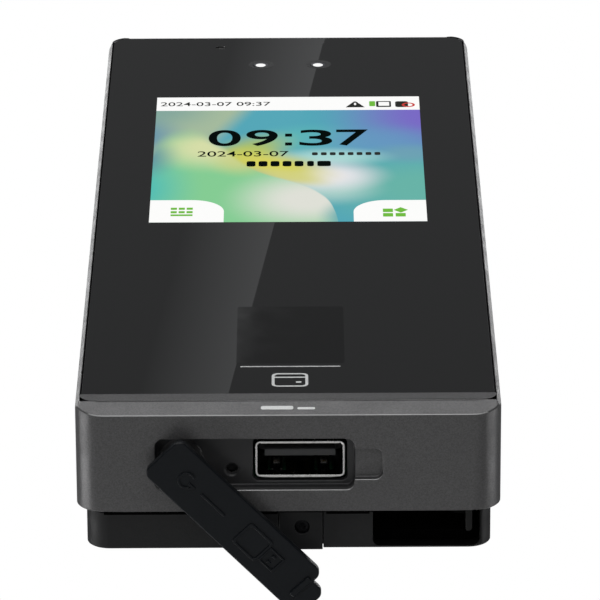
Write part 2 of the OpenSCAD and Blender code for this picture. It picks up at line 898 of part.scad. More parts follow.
module security_screw() {
    color("darkslategray")
    difference() {
        union() {
            upright(lock_head_r, lug_z + lock_sink, lug_z + lock_sink + lock_head_t, lock_x, lock_y);
            upright(lock_r, lug_z + lock_sink + lock_head_t - eps, lug_z + 5.6, lock_x, lock_y);
        }
        translate([lock_x, lock_y, lug_z])
            cylinder(r = 0.5, h = lock_sink + 0.3, $fn = 6);
    }
}

// Stem of the rubber cover, with the bulb that keeps it behind the end wall
module cover_stem() {
    bulb_r = 2.3;
    bulb_z = inner_bottom_z + 0.05;
    color([0.1, 0.1, 0.11])
    union() {
        upright(stem_r, flap_inner_z - 0.7, bulb_z + 1, stem_x, port_y);
        upright(bulb_r, bulb_z, bulb_z + 1, stem_x, port_y);
        translate([stem_x, port_y, bulb_z + 1])
            cylinder(r1 = bulb_r, r2 = 1, h = 1.4);
    }
}

// The cover lies along +X before it is turned about its stem. A ridge on its outer face helps to pull it
module usb_cover() {
    tip = flap_l - flap_root;
    color([0.12, 0.12, 0.13])
    translate([stem_x, port_y, flap_inner_z])
        rotate([0, 0, flap_angle])
            difference() {
                union() {
                    translate([0, 0, -flap_t])
                        linear_extrude(flap_t)
                            union() {
                                translate([tip - flap_l / 2, 0])
                                    rounded(flap_l, flap_w, flap_r);
                                translate([tip + tab_l / 2 - 1, 0])
                                    rounded(tab_l + 2, tab_w, flap_r);
                            }
                    translate([ridge_x + ridge_l / 2, 0, -flap_t - ridge_t])
                        linear_extrude(ridge_t + eps)
                            rounded(ridge_l, ridge_w, 0.3);
                }
                translate([0, 0, -0.75])
                    cylinder(r = stem_r + stem_play, h = 2);
            }
}

wall_bracket();
security_screw();
front_frame();
cover_glass();
glass_tape();
lcd_panel();
lcd_tray();
lcd_flex();
fingerprint_window();
fingerprint_housing();
fingerprint_board();
card_antenna();
antenna_coil();
colour_camera();
colour_lens();
infrared_camera();
infrared_lens();
camera_board();
camera_flex();
infrared_leds();
microphone();
main_board();
processor_shield();
chips();
flex_sockets();
lock_relay();
capacitors();
clock_battery();
battery_clip();
speaker_basket();
speaker_cone();
speaker_foam();
usb_shell();
usb_tongue();
usb_contacts();
reset_switch();
reset_button();
tamper_switch();
tamper_plunger();
wiring_headers();
header_pins();
board_screws();
rear_cover();
rear_seal();
cover_screws();
cover_stem();
usb_cover();
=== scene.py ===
import json
import math

import bmesh
import bpy
from mathutils import Matrix, Vector


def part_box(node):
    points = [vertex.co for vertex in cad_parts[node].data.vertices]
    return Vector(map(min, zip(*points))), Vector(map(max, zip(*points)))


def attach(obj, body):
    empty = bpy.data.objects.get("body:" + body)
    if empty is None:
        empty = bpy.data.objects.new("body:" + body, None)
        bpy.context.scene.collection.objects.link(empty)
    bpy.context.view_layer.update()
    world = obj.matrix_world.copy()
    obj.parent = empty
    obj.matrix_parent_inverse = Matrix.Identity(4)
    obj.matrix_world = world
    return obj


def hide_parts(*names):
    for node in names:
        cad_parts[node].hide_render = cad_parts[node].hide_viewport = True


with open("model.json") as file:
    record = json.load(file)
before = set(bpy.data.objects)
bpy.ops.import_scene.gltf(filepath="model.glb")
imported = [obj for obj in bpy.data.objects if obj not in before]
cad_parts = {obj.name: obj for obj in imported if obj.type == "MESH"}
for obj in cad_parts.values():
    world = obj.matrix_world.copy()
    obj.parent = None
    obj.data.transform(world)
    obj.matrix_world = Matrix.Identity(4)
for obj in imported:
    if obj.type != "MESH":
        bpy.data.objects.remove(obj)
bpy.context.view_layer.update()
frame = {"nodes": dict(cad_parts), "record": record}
NODES = frame["nodes"]
SLOT_OF = {row["node"]: row["material_slot"] for row in frame["record"]["subparts"]}
BODY_OF = {"cover_stem": "cover_stem", "usb_cover": "usb_cover",
           "reset_button": "reset_button", "tamper_plunger": "tamper_plunger"}
MM = 0.001
# Points closer than this are one point, in metres
WELD = 1e-7


# ---------------------------------------------------------------- places that the frame gives

def box_mm(node):
    """A CAD node's lowest and highest corner, in millimetres."""
    low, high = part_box(node)
    return low / MM, high / MM


GLASS_LOW, GLASS_HIGH = box_mm("cover_glass")
END_Z = box_mm("front_frame")[0].z
REAR_END_Z = box_mm("rear_cover")[0].z
USB_LOW, USB_HIGH = box_mm("usb_shell")
TONGUE_LOW, TONGUE_HIGH = box_mm("usb_tongue")
STEM_LOW, STEM_HIGH = box_mm("cover_stem")
FINGER_LOW, FINGER_HIGH = box_mm("fingerprint_window")
PORT_X, PORT_Y = (USB_LOW.x + USB_HIGH.x) / 2, (USB_LOW.y + USB_HIGH.y) / 2
STEM_X = (STEM_LOW.x + STEM_HIGH.x) / 2

# The printed glass: its front plane, then one thin layer after another on it
GLASS_FRONT = GLASS_LOW.y + 0.03
LAYER = 0.006
PRINT_Y = GLASS_FRONT - LAYER
PANEL_Y = PRINT_Y - LAYER
SIGN_Y = PANEL_Y - LAYER


# ---------------------------------------------------------------- camera, light and floor

# The camera stands in front of the terminal and below it, and looks up past its lower end, in metres
CAMERA_PLACE = Vector((0.001575, -0.3210, -0.7867))
CAMERA_RIGHT = Vector((0.999988, 0.00444, -0.00209))
CAMERA_UP = Vector((0.0049, -0.92865, 0.37092))
LENS_MM, SENSOR_MM = 317.0, 36.0

# Light strength of the grey room and of its brighter band, and how fast the band fades out
ROOM_LIGHT, BAND_LIGHT, BAND_FADE = 0.17, 0.215, 0.0165
# Where the band's sharp edge crosses the glass, as x and z in millimetres
BAND_TOP, BAND_LOW = (6.4, 82.2), (-8.9, -78.6)

# Soft lights: name, place, height that it aims at, size and watts
LIGHTS = (("key", (-1.2, -1.6, 1.4), 0, (1.2, 1.2), 18),
          ("front", (0.1, -1.75, 1.35), 0, (1.8, 0.8), 8.6),
          ("edge", (-0.2, -1.7, -1.05), 0, (1.8, 0.95), 9),
          ("top", (0.0, 0.3, 2.2), 0, (2.2, 0.5), 8),
          ("left", (-2.0, 0.9, -0.3), 0, (0.6, 1.6), 11),
          ("right", (2.0, 0.7, -0.3), 0, (0.6, 1.6), 6),
          ("under", (-0.8, 1.8, -1.0), -0.08, (0.9, 0.5), 7),
          ("rim", (0.0, 1.0, -2.4), -0.08, (0.9, 0.4), 0.3),
          ("back", (0.3, 1.9, 1.2), 0, (1.6, 1.6), 12))


def make_camera():
    data = bpy.data.cameras.new("camera")
    data.lens = LENS_MM
    data.sensor_width = SENSOR_MM
    data.clip_start = 0.01
    data.clip_end = 50.0
    camera = bpy.data.objects.new("camera", data)
    bpy.context.scene.collection.objects.link(camera)
    back = CAMERA_RIGHT.cross(CAMERA_UP).normalized()
    up = back.cross(CAMERA_RIGHT).normalized()
    turn = Matrix((CAMERA_RIGHT, up, back)).transposed()
    camera.matrix_world = Matrix.Translation(CAMERA_PLACE) @ turn.to_4x4()
    bpy.context.scene.camera = camera


def area_light(name, place, target_z, size, power):
    data = bpy.data.lights.new(name, "AREA")
    data.shape = "RECTANGLE"
    data.size, data.size_y = size
    data.energy = power
    lamp = bpy.data.objects.new(name, data)
    bpy.context.scene.collection.objects.link(lamp)
    place = Vector(place)
    lamp.location = place
    lamp.rotation_mode = "QUATERNION"
    lamp.rotation_quaternion = (Vector((0, 0, target_z)) - place).to_track_quat("-Z", "Y")


def band_normal():
    """Direction square to the band's sharp edge, whose reflection crosses the glass from top to bottom."""
    glass_y = GLASS_FRONT * MM
    edge_top = Vector((BAND_TOP[0] * MM, glass_y, BAND_TOP[1] * MM))
    edge_low = Vector((BAND_LOW[0] * MM, glass_y, BAND_LOW[1] * MM))
    mirrored = Vector((CAMERA_PLACE.x, 2 * glass_y - CAMERA_PLACE.y, CAMERA_PLACE.z))
    across = (edge_top - mirrored).cross(edge_low - mirrored).normalized()
    return across if across.x < 0 else -across


def make_world():
    """White behind the object; for light and reflections a soft grey room with one brighter band."""
    world = bpy.data.worlds.new("studio")
    bpy.context.scene.world = world
    world.use_nodes = True
    nodes, links = world.node_tree.nodes, world.node_tree.links
    nodes.clear()
    out = nodes.new("ShaderNodeOutputWorld")
    mix = nodes.new("ShaderNodeMixShader")
    path = nodes.new("ShaderNodeLightPath")
    seen = nodes.new("ShaderNodeBackground")
    lit = nodes.new("ShaderNodeBackground")
    seen.inputs["Color"].default_value = (1, 1, 1, 1)
    lit.inputs["Color"].default_value = (0.97, 0.985, 1.0, 1)
    where = nodes.new("ShaderNodeTexCoord")
    side = nodes.new("ShaderNodeVectorMath")
    side.operation = "DOT_PRODUCT"
    side.inputs[1].default_value = band_normal()
    fade = nodes.new("ShaderNodeMapRange")
    fade.inputs["From Min"].default_value = 0.0
    fade.inputs["From Max"].default_value = BAND_FADE
    fade.inputs["To Min"].default_value = BAND_LIGHT
    fade.inputs["To Max"].default_value = 0.0
    edge = nodes.new("ShaderNodeMath")
    edge.operation = "GREATER_THAN"
    edge.inputs[1].default_value = 0.0
    band = nodes.new("ShaderNodeMath")
    band.operation = "MULTIPLY_ADD"
    band.inputs[2].default_value = ROOM_LIGHT
    links.new(where.outputs["Generated"], side.inputs[0])
    links.new(side.outputs["Value"], fade.inputs["Value"])
    links.new(side.outputs["Value"], edge.inputs[0])
    links.new(fade.outputs["Result"], band.inputs[0])
    links.new(edge.outputs[0], band.inputs[1])
    links.new(band.outputs[0], lit.inputs["Strength"])
    links.new(path.outputs["Is Camera Ray"], mix.inputs["Fac"])
    links.new(lit.outputs[0], mix.inputs[1])
    links.new(seen.outputs[0], mix.inputs[2])
    links.new(mix.outputs[0], out.inputs["Surface"])


def make_floor():
    """A plain pale floor far below, which glows a little to the camera only."""
    size, level = 9.0, -2.5
    mesh = bpy.data.meshes.new("floor")
    corners = [(-size, -size, level), (size, -size, level), (size, size, level), (-size, size, level)]
    mesh.from_pydata(corners, [], [(0, 1, 2, 3)])
    floor = bpy.data.objects.new("floor", mesh)
    bpy.context.scene.collection.objects.link(floor)
    surface = bpy.data.materials.new("floor_paper")
    surface.use_nodes = True
    nodes, links = surface.node_tree.nodes, surface.node_tree.links
    shader = nodes["Principled BSDF"]
    shader.inputs["Base Color"].default_value = (0.7, 0.7, 0.69, 1)
    shader.inputs["Roughness"].default_value = 0.9
    shader.inputs["Emission Color"].default_value = (1, 1, 1, 1)
    path = nodes.new("ShaderNodeLightPath")
    glow = nodes.new("ShaderNodeMath")
    glow.operation = "MULTIPLY"
    glow.inputs[1].default_value = 0.6
    links.new(path.outputs["Is Camera Ray"], glow.inputs[0])
    links.new(glow.outputs[0], shader.inputs["Emission Strength"])
    mesh.materials.append(surface)


def make_studio():
    make_world()
    make_floor()
    for light in LIGHTS:
        area_light(*light)
    bpy.context.scene.view_settings.view_transform = "Standard"
    bpy.context.scene.view_settings.look = "None"


# ---------------------------------------------------------------- materials

def linear(code):
    """A colour written as rrggbb, as linear light."""
    parts = [int(code[i:i + 2], 16) / 255 for i in (0, 2, 4)]
    return [c / 12.92 if c <= 0.04045 else ((c + 0.055) / 1.055) ** 2.4 for c in parts] + [1.0]


class Paint:
    """One material's nodes, with patterns laid out in millimetres on the piece itself."""

    def __init__(self, name, base, rough=0.5, metal=0.0, **values):
        self.material = bpy.data.materials.new(name)
        self.material.use_nodes = True
        tree = self.material.node_tree
        self.nodes, self.links = tree.nodes, tree.links
        self.shader = self.nodes["Principled BSDF"]
        self.base = tuple(base[:3])
        self.set("Base Color", (*self.base, 1))
        self.set("Roughness", rough)
        self.set("Metallic", metal)
        for key, value in values.items():
            self.set(key.replace("_", " "), value)
        place = self.nodes.new("ShaderNodeTexCoord")
        scale = self.nodes.new("ShaderNodeVectorMath")
        scale.operation = "SCALE"
        scale.inputs["Scale"].default_value = 1 / MM
        self.links.new(place.outputs["Object"], scale.inputs[0])
        self.place = scale.outputs[0]
        self.height = None

    def set(self, socket, value):
        """Sets a constant on the shader's own socket."""
        self.shader.inputs[socket].default_value = value

    def noise(self, size, detail=2.0, place=None):
        """Noise whose blobs are about size millimetres across."""
        node = self.nodes.new("ShaderNodeTexNoise")
        node.inputs["Scale"].default_value = 1.0 / size
        node.inputs["Detail"].default_value = detail
        self.links.new(place or self.place, node.inputs["Vector"])
        return node.outputs["Fac"]

    def cells(self, size):
        """Small flakes, each with its own shade."""
        node = self.nodes.new("ShaderNodeTexVoronoi")
        node.inputs["Scale"].default_value = 1.0 / size
        self.links.new(self.place, node.inputs["Vector"])
        part = self.nodes.new("ShaderNodeSeparateColor")
        self.links.new(node.outputs["Color"], part.inputs["Color"])
        return part.outputs["Red"]

    def stretched(self, factors):
        """Object coordinates scaled by a factor on each axis, for drawn-out noise."""
        node = self.nodes.new("ShaderNodeVectorMath")
        node.operation = "MULTIPLY"
        node.inputs[1].default_value = factors
        self.links.new(self.place, node.inputs[0])
        return node.outputs[0]

    def span(self, value, low, high, start=0.3, stop=0.7):
        """A number from low to high as value runs from start to stop."""
        node = self.nodes.new("ShaderNodeMapRange")
        for name, number in (("From Min", start), ("From Max", stop), ("To Min", low), ("To Max", high)):
            node.inputs[name].default_value = number
        self.links.new(value, node.inputs["Value"])
        return node.outputs["Result"]

    def math(self, operation, first, second):
        """One sum of two numbers or sockets."""
        node = self.nodes.new("ShaderNodeMath")
        node.operation = operation
        for socket, value in zip(node.inputs, (first, second)):
            if isinstance(value, (int, float)):
                socket.default_value = value
            else:
                self.links.new(value, socket)
        return node.outputs[0]

    def base_from(self, colour):
        self.links.new(colour, self.shader.inputs["Base Color"])

    def inside(self, low, high):
        """1 within a box between two corners in millimetres, 0 outside it."""
        split = self.nodes.new("ShaderNodeSeparateXYZ")
        self.links.new(self.place, split.inputs[0])
        share = 1.0
        for axis, start, stop in zip("XYZ", low, high):
            above = self.math("GREATER_THAN", split.outputs[axis], start)
            below = self.math("LESS_THAN", split.outputs[axis], stop)
            share = self.math("MULTIPLY", self.math("MULTIPLY", above, below), share)
        return share

    def front_edges(self, z_high):
        """1 on rounded edges that face both the front and the lower end, below z_high mm."""
        place = self.nodes.new("ShaderNodeTexCoord")
        facing = self.nodes.new("ShaderNodeSeparateXYZ")
        self.links.new(place.outputs["Normal"], facing.inputs[0])
        front = self.span(facing.outputs["Y"], 0.0, 1.0, -0.3, -0.5)
        end = self.span(facing.outputs["Z"], 0.0, 1.0, -0.32, -0.5)
        split = self.nodes.new("ShaderNodeSeparateXYZ")
        self.links.new(self.place, split.inputs[0])
        near = self.math("LESS_THAN", split.outputs["Z"], z_high)
        return self.math("MULTIPLY", self.math("MULTIPLY", front, end), near)

    def lerp(self, factor, first, second):
        """A number between two numbers or sockets."""
        gap = self.math("SUBTRACT", second, first)
        return self.math("ADD", first, self.math("MULTIPLY", factor, gap))

    def mix(self, factor, first, second):
        """A colour between two colours, each a tuple or a socket."""
        node = self.nodes.new("ShaderNodeMix")
        node.data_type = "RGBA"
        sockets = (node.inputs["Factor"], node.inputs[6], node.inputs[7])
        for socket, value in zip(sockets, (factor, first, second)):
            if isinstance(value, (int, float)):
                socket.default_value = value
            elif isinstance(value, (tuple, list)):
                socket.default_value = (*value[:3], 1)
            else:
                self.links.new(value, socket)
        return node.outputs[2]

    def shade(self, pattern, low, high, start=0.3, stop=0.7):
        """Base colour between low and high times itself, where the pattern says."""
        amount = self.span(pattern, 0.0, 1.0, start, stop)
        dark = tuple(c * low for c in self.base)
        light = tuple(min(c * high, 1.0) for c in self.base)
        colour = self.mix(amount, dark, light)
        self.base_from(colour)
        return colour

    def gloss(self, pattern, low, high, start=0.3, stop=0.7):
        self.links.new(self.span(pattern, low, high, start, stop), self.shader.inputs["Roughness"])

    def bump(self, pattern, depth, strength=1.0):
        """Relief of depth millimetres, added over any bump already there."""
        node = self.nodes.new("ShaderNodeBump")
        node.inputs["Strength"].default_value = strength
        node.inputs["Distance"].default_value = depth * MM
        self.links.new(pattern, node.inputs["Height"])
        if self.height is not None:
            self.links.new(self.height, node.inputs["Normal"])
        self.height = node.outputs["Normal"]
        self.links.new(self.height, self.shader.inputs["Normal"])


# Where the recess of the rubber cover starts and ends, in x; the shell paint is darker there as painted
# shade
RECESS_SPAN = (-19.7, 9.9)
# The hollow of the cable mouth, where the rear plastic is painted almost black as shade: its nearest left
# corner and its farthest right one
MOUTH_BOX = ((12.2, -7.1, -81.4), (28.1, -0.5, -60))


def shell_paint():
    """Sprayed metallic grey with flakes and faint orange peel: a painted highlight, lighter and glossier,
    on the lower front edge, and painted shade, darker, in the recess of the rubber cover."""
    paint = Paint("shell_paint", (0.118, 0.117, 0.119), 0.44, 0.45)
    flakes = paint.cells(0.16)
    tone = paint.shade(flakes, 0.84, 1.2, 0.0, 1.0)
    broad = paint.noise(14, 3)
    tint = paint.mix(paint.span(broad, 0.0, 0.22), tone, (0.10, 0.098, 0.102))
    # Painted highlight: the lower front edges get a lighter base colour and less roughness
    edges = paint.front_edges(END_Z + 0.6)
    edge_highlight_colour = paint.mix(edges, tint, (0.52, 0.52, 0.52))
    # Painted shade: the recess of the rubber cover is painted darker
    (left, right), half, depth = RECESS_SPAN, 4.2, 2.4
    recess = paint.inside((left, PORT_Y - half, END_Z + 1.0), (right, PORT_Y + half, END_Z + depth))
    paint.base_from(paint.mix(recess, edge_highlight_colour, (0.05, 0.05, 0.052)))
    dull = paint.span(paint.noise(3, 4), 0.32, 0.42)
    paint.links.new(paint.lerp(edges, dull, 0.27), paint.shader.inputs["Roughness"])
    paint.bump(flakes, 0.012, 0.5)
    paint.bump(paint.noise(0.5, 2), 0.015, 0.5)
    return paint.material


def glass_black():
    """Cover glass printed black on its back: mirror smooth, with faint smears and dust."""
    paint = Paint("glass_black", (0.0018, 0.0019, 0.0022), 0.03, IOR=1.5)
    smear = paint.noise(9, 4, paint.stretched((1.0, 1.0, 0.35)))
    paint.gloss(smear, 0.0, 0.012)
    paint.shade(paint.noise(0.3, 3), 0.8, 3.0, 0.62, 0.78)
    return paint.material


def finger_window():
    """The dark window that infrared light passes."""
    paint = Paint("finger_window", (0.0012, 0.0012, 0.0015), 0.05, IOR=1.34)
    paint.gloss(paint.noise(5, 4), 0.03, 0.09)
    paint.shade(paint.noise(0.4, 2), 0.7, 1.8, 0.55, 0.75)
    return paint.material


def plastic(name, base, grain=0.35, depth=0.03, rough=(0.5, 0.62), shade_box=None):
    """Moulded plastic with a spark-eroded skin, painted almost black as shade in the hollow that shade_box
    gives.
    """
    paint = Paint(name, base, rough[0], IOR=1.42)
    if shade_box:
        # Painted shade: almost black inside the given box
        shade_share = 0.12
        paint.base_from(paint.mix(paint.inside(*shade_box), base, tuple(c * shade_share for c in base)))
    else:
        paint.shade(paint.noise(11, 3), 0.88, 1.14)
    paint.gloss(paint.noise(2.2, 4), *rough)
    paint.bump(paint.noise(grain, 3), depth, 0.6)
    return paint.material


def rubber(name, base):
    """Silicone rubber: dull, with fine mould texture and a little dust."""
    paint = Paint(name, base, 0.4, IOR=1.36, Sheen_Weight=0.03, Sheen_Roughness=0.4)
    dust = paint.noise(0.35, 4)
    paint.shade(dust, 0.9, 1.5, 0.5, 0.85)
    paint.gloss(paint.noise(3, 4), 0.34, 0.46)
    paint.bump(paint.noise(0.25, 2), 0.012, 0.6)
    return paint.material


def shade_sheet():
    """Near-black matte sheet with a foam-like grain, standing in for shade: it gives back almost no light.
    """
    paint = Paint("shade_sheet_black", (0.0012, 0.0012, 0.0013), 0.95, Specular_IOR_Level=0.03)
    paint.shade(paint.noise(0.3, 3), 0.5, 1.6)
    paint.bump(paint.cells(0.35), 0.05, 0.7)
    return paint.material


def usb_plating():
    """Bright at the port's mouth, and dark towards its inside as painted shade."""
    paint = Paint("usb_plating", (0.62, 0.62, 0.61), 0.2, 1.0)
    split = paint.nodes.new("ShaderNodeSeparateXYZ")
    paint.links.new(paint.place, split.inputs[0])
    # Painted shade: the plating turns dark grey deeper inside the port
    inward_shade = smooth_step(paint, split.outputs["Z"], USB_LOW.z + 0.02, USB_LOW.z + 0.2)
    tone = paint.mix(paint.noise(1.5, 3), (0.6, 0.6, 0.59), (0.72, 0.72, 0.71))
    dull = paint.mix(paint.noise(0.8, 3), (0.035, 0.035, 0.035), (0.07, 0.07, 0.068))
    paint.base_from(paint.mix(inward_shade, tone, dull))
    paint.gloss(paint.noise(0.6, 3, paint.stretched((1.0, 1.0, 0.15))), 0.14, 0.3)
    return paint.material


def port_spring():
    """Leaf springs painted dark as shade, with a painted highlight in one band below their crests."""
    paint = Paint("port_spring", (0.6, 0.6, 0.58), 0.26, 1.0)
    front, back = USB_HIGH.y - 1.36, USB_HIGH.y - 1.08
    # Painted highlight in one band below the crests, painted shade everywhere else
    crest_highlight = paint.inside((USB_LOW.x, front, END_Z), (USB_HIGH.x, back, USB_HIGH.z))
    paint.base_from(paint.mix(crest_highlight, (0.03, 0.03, 0.03), (0.8, 0.8, 0.78)))
    paint.gloss(paint.noise(0.5, 3), 0.22, 0.34)
    return paint.material


def metal(name, base, rough, brushed=None, wear=1.25):
    """Bare or plated metal with fine scratches, along one axis if brushed is given."""
    paint = Paint(name, base, rough[0], 1.0)
    place = paint.stretched(brushed) if brushed else paint.place
    lines = paint.noise(0.5, 4, place)
    paint.gloss(lines, *rough)
    paint.shade(paint.noise(4, 4), 1 / wear, 1.06)
    paint.bump(lines, 0.006, 0.4)
    return paint.material


def circuit_board():
    """Green solder mask over copper tracks."""
    paint = Paint("circuit_board", (0.008, 0.07, 0.03), 0.32, IOR=1.5)
    tracks = paint.nodes.new("ShaderNodeTexBrick")
    for key, value in (("Scale", 0.55), ("Mortar Size", 0.05), ("Brick Width", 1.3), ("Row Height", 0.5)):
        tracks.inputs[key].default_value = value
    turn = paint.nodes.new("ShaderNodeMapping")
    turn.inputs["Rotation"].default_value = (math.radians(90), 0, 0)
    paint.links.new(paint.place, turn.inputs["Vector"])
    paint.links.new(turn.outputs[0], tracks.inputs["Vector"])
    lane = paint.span(tracks.outputs["Fac"], 0.0, 0.8, 0.0, 1.0)
    paint.base_from(paint.mix(lane, paint.base, (0.02, 0.16, 0.06)))
    paint.gloss(paint.noise(2, 3), 0.26, 0.42)
    paint.bump(tracks.outputs["Fac"], 0.03, 0.6)
    return paint.material


def film(name, base):
    """Thin glossy film or clear resin."""
    paint = Paint(name, base, 0.3, IOR=1.5)
    paint.shade(paint.noise(6, 3, paint.stretched((4.0, 1.0, 0.3))), 0.75, 1.2)
    paint.gloss(paint.noise(2, 3), 0.25, 0.4)
    return paint.material


def print_ink(name, base):
    """Pale ink seen through the glass, glowing faintly as painted light."""
    # The faint glow is painted light: the ink is no lamp
    paint = Paint(name, base, 0.12, IOR=1.5, Emission_Color=(*base, 1), Emission_Strength=0.12)
    paint.shade(paint.noise(0.25, 3), 0.92, 1.04)
    paint.gloss(paint.noise(2, 3), 0.08, 0.2)
    return paint.material


def lens_coating():
    """Dark coated glass."""
    paint = Paint("lens_coating", (0.012, 0.012, 0.02), 0.04, IOR=1.6, Coat_Weight=0.6,
                  Coat_Roughness=0.03)
    paint.shade(paint.noise(1.2, 3), 0.6, 1.8)
    paint.gloss(paint.noise(0.8, 3), 0.02, 0.08)
    return paint.material


def lit(name, colour, strength=1.0):
    """A lit part of the display."""
    paint = Paint(name, (0.001, 0.001, 0.001), 0.06, Emission_Strength=strength,
                  Specular_IOR_Level=0.0)
    grain = paint.span(paint.noise(0.2, 1), 0.0, 1.0, 0.35, 0.65)
    dim = tuple(c * 0.985 for c in colour[:3])
    paint.links.new(paint.mix(grain, dim, colour[:3]), paint.shader.inputs["Emission Color"])
    paint.gloss(paint.noise(9, 4), 0.02, 0.06)
    return paint.material


# ---------------------------------------------------------------- shapes

def link(piece):
    bpy.context.scene.collection.objects.link(piece)
    return piece


def mesh_of(piece):
    """A new mesh of the piece as it is after its modifiers."""
    bpy.context.view_layer.update()
    return bpy.data.meshes.new_from_object(piece.evaluated_get(bpy.context.evaluated_depsgraph_get()))


def settle(piece, body, material):
    """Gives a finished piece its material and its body."""
    piece.data.materials.clear()
    piece.data.materials.append(material)
    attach(piece, body)
    return piece


def front_plane(y):
    """Drawing plane of the front: right is +X, up is +Z, out is towards -Y. All in millimetres."""
    return Matrix(((1, 0, 0, 0), (0, 0, -1, y), (0, 1, 0, 0), (0, 0, 0, 1)))


def end_plane(z):
    """Drawing plane of the lower end: right is +X, up is towards the front, out is -Z."""
    return Matrix(((1, 0, 0, 0), (0, -1, 0, 0), (0, 0, -1, z), (0, 0, 0, 1)))


def rounded(x_low, x_high, z_low, z_high, radii, steps=8):
    """Outline of a rectangle. radii run from the lower right corner anticlockwise; one number sets all."""
    if isinstance(radii, (int, float)):
        radii = [radii] * 4
    corners = [(x_high, z_low, -90), (x_high, z_high, 0), (x_low, z_high, 90), (x_low, z_low, 180)]
    points = []
    for (x, z, start), radius in zip(corners, radii):
        if radius <= 0:
            points.append((x, z))
            continue
        cx = x - radius if x == x_high else x + radius
        cz = z - radius if z == z_high else z + radius
        for i in range(steps + 1):
            turn = math.radians(start + 90 * i / steps)
            points.append((cx + radius * math.cos(turn), cz + radius * math.sin(turn)))
    return points


def ring(x, z, radius, steps=48):
    turns = [2 * math.pi * i / steps for i in range(steps)]
    return [(x + radius * math.cos(turn), z + radius * math.sin(turn)) for turn in turns]


def plate(name, loops, plane, thick, edge=0.0, edge_steps=3):
    """A plate that lies on the plane and stands out from it, with rounded edges. Inner loops are holes."""
    curve = bpy.data.curves.new(name, "CURVE")
    curve.dimensions = "2D"
    curve.fill_mode = "BOTH"
    curve.extrude = thick / 2 - edge
    curve.bevel_depth = edge
    curve.bevel_resolution = edge_steps
    curve.offset = -edge
    for loop in loops:
        spline = curve.splines.new("POLY")
        spline.points.add(len(loop) - 1)
        for point, (a, b) in zip(spline.points, loop):
            point.co = (a, b, 0, 1)
        spline.use_cyclic_u = True
    holder = link(bpy.data.objects.new(name + "_curve", curve))
    mesh = mesh_of(holder)
    bpy.data.objects.remove(holder)
    raise_up = Matrix.Translation((0, 0, thick / 2))
    mesh.transform(Matrix.Scale(MM, 4) @ plane @ raise_up)
    piece = finish_mesh(name, mesh)
    if edge:
        even_normals(piece)
        applied(piece)
    return piece


def even_normals(piece):
    """Keeps large flat faces flat where they meet small rounded ones."""
    evened = piece.modifiers.new("normals", "WEIGHTED_NORMAL")
    evened.weight = 100
    evened.keep_sharp = True


def finish_mesh(name, mesh, sharp=30.0):
    """Welds a mesh, shades it smooth apart from its sharp edges and makes an object of it."""
    work = bmesh.new()
    work.from_mesh(mesh)
    bmesh.ops.remove_doubles(work, verts=work.verts, dist=WELD)
    bmesh.ops.recalc_face_normals(work, faces=work.faces)
    for face in work.faces:
        face.smooth = True
    work.to_mesh(mesh)
    work.free()
    mesh.name = name
    mesh.set_sharp_from_angle(angle=math.radians(sharp))
    return link(bpy.data.objects.new(name, mesh))


def applied(piece):
    """Turns a piece's modifiers into its mesh."""
    mesh = mesh_of(piece)
    piece.modifiers.clear()
    piece.data = mesh


def mark_edges(work, angle, acute):
    """Marks the sharp edges to round over, but none that meets another edge at a very small angle."""
    weight = work.edges.layers.float.new("bevel_weight_edge")
    for edge in work.edges:
        if len(edge.link_faces) == 2 and edge.calc_face_angle(0) > math.radians(angle):
            edge[weight] = 1.0
    for edge in work.edges:
        for end in edge.verts:
            along = edge.other_vert(end).co - end.co
            others = [other.other_vert(end).co - end.co
                      for other in end.link_edges if other is not edge]
            if any(along.angle(other) < math.radians(acute) for other in others):
                edge[weight] = 0.0


def softened(node, width, material):
    """A finer piece in place of a CAD node: the same shape, its sharp edges rounded over by width mm."""
    weld, flat, sharp, acute = 0.02 * MM, math.radians(0.3), 28.0, 20.0
    mesh = NODES[node].data.copy()
    work = bmesh.new()
    work.from_mesh(mesh)
    bmesh.ops.remove_doubles(work, verts=work.verts, dist=weld)
    bmesh.ops.dissolve_limit(work, angle_limit=flat, verts=work.verts, edges=work.edges)
    mark_edges(work, sharp, acute)
    work.to_mesh(mesh)
    work.free()
    piece = finish_mesh(node + "_fine", mesh, 40.0)
    bevel = piece.modifiers.new("edges", "BEVEL")
    bevel.width = width * MM
    bevel.segments = 3
    bevel.limit_method = "WEIGHT"
    bevel.use_clamp_overlap = False
    even_normals(piece)
    applied(piece)
    settle(piece, BODY_OF.get(node, "terminal"), material)
    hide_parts(node)


# ---------------------------------------------------------------- front: glass, display, prints, cameras

# Middle of the window, the prints and the glass in x
PRINT_X = 0.35
GLASS_X = (GLASS_LOW.x + GLASS_HIGH.x) / 2


def front_layer(name, loops, material, y=PRINT_Y):
    """A thin layer that lies on the glass, printed or lit."""
    return settle(plate(name, loops, front_plane(y), LAYER), "terminal", material)


def front_glass(looks):
    """The cover glass with the microphone's hole, and the gauze in the hole."""
    mic_x, mic_z, mic_r = -11.65, 77.4, 0.8
    corner, edge = 2.6, 0.12
    outline = rounded(GLASS_LOW.x, GLASS_HIGH.x, GLASS_LOW.z, GLASS_HIGH.z, corner, 12)
    hole = ring(GLASS_X + mic_x, mic_z, mic_r)
    thick = GLASS_HIGH.y - GLASS_FRONT
    glass = plate("cover_glass_printed", [outline, hole], front_plane(GLASS_HIGH.y), thick, edge, 3)
    settle(glass, "terminal", looks["cover_glass"])
    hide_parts("cover_glass")
    gauze = plate("mic_gauze", [hole], front_plane(GLASS_FRONT + 0.3), 0.1)
    settle(gauze, "terminal", looks["mic_mesh"])


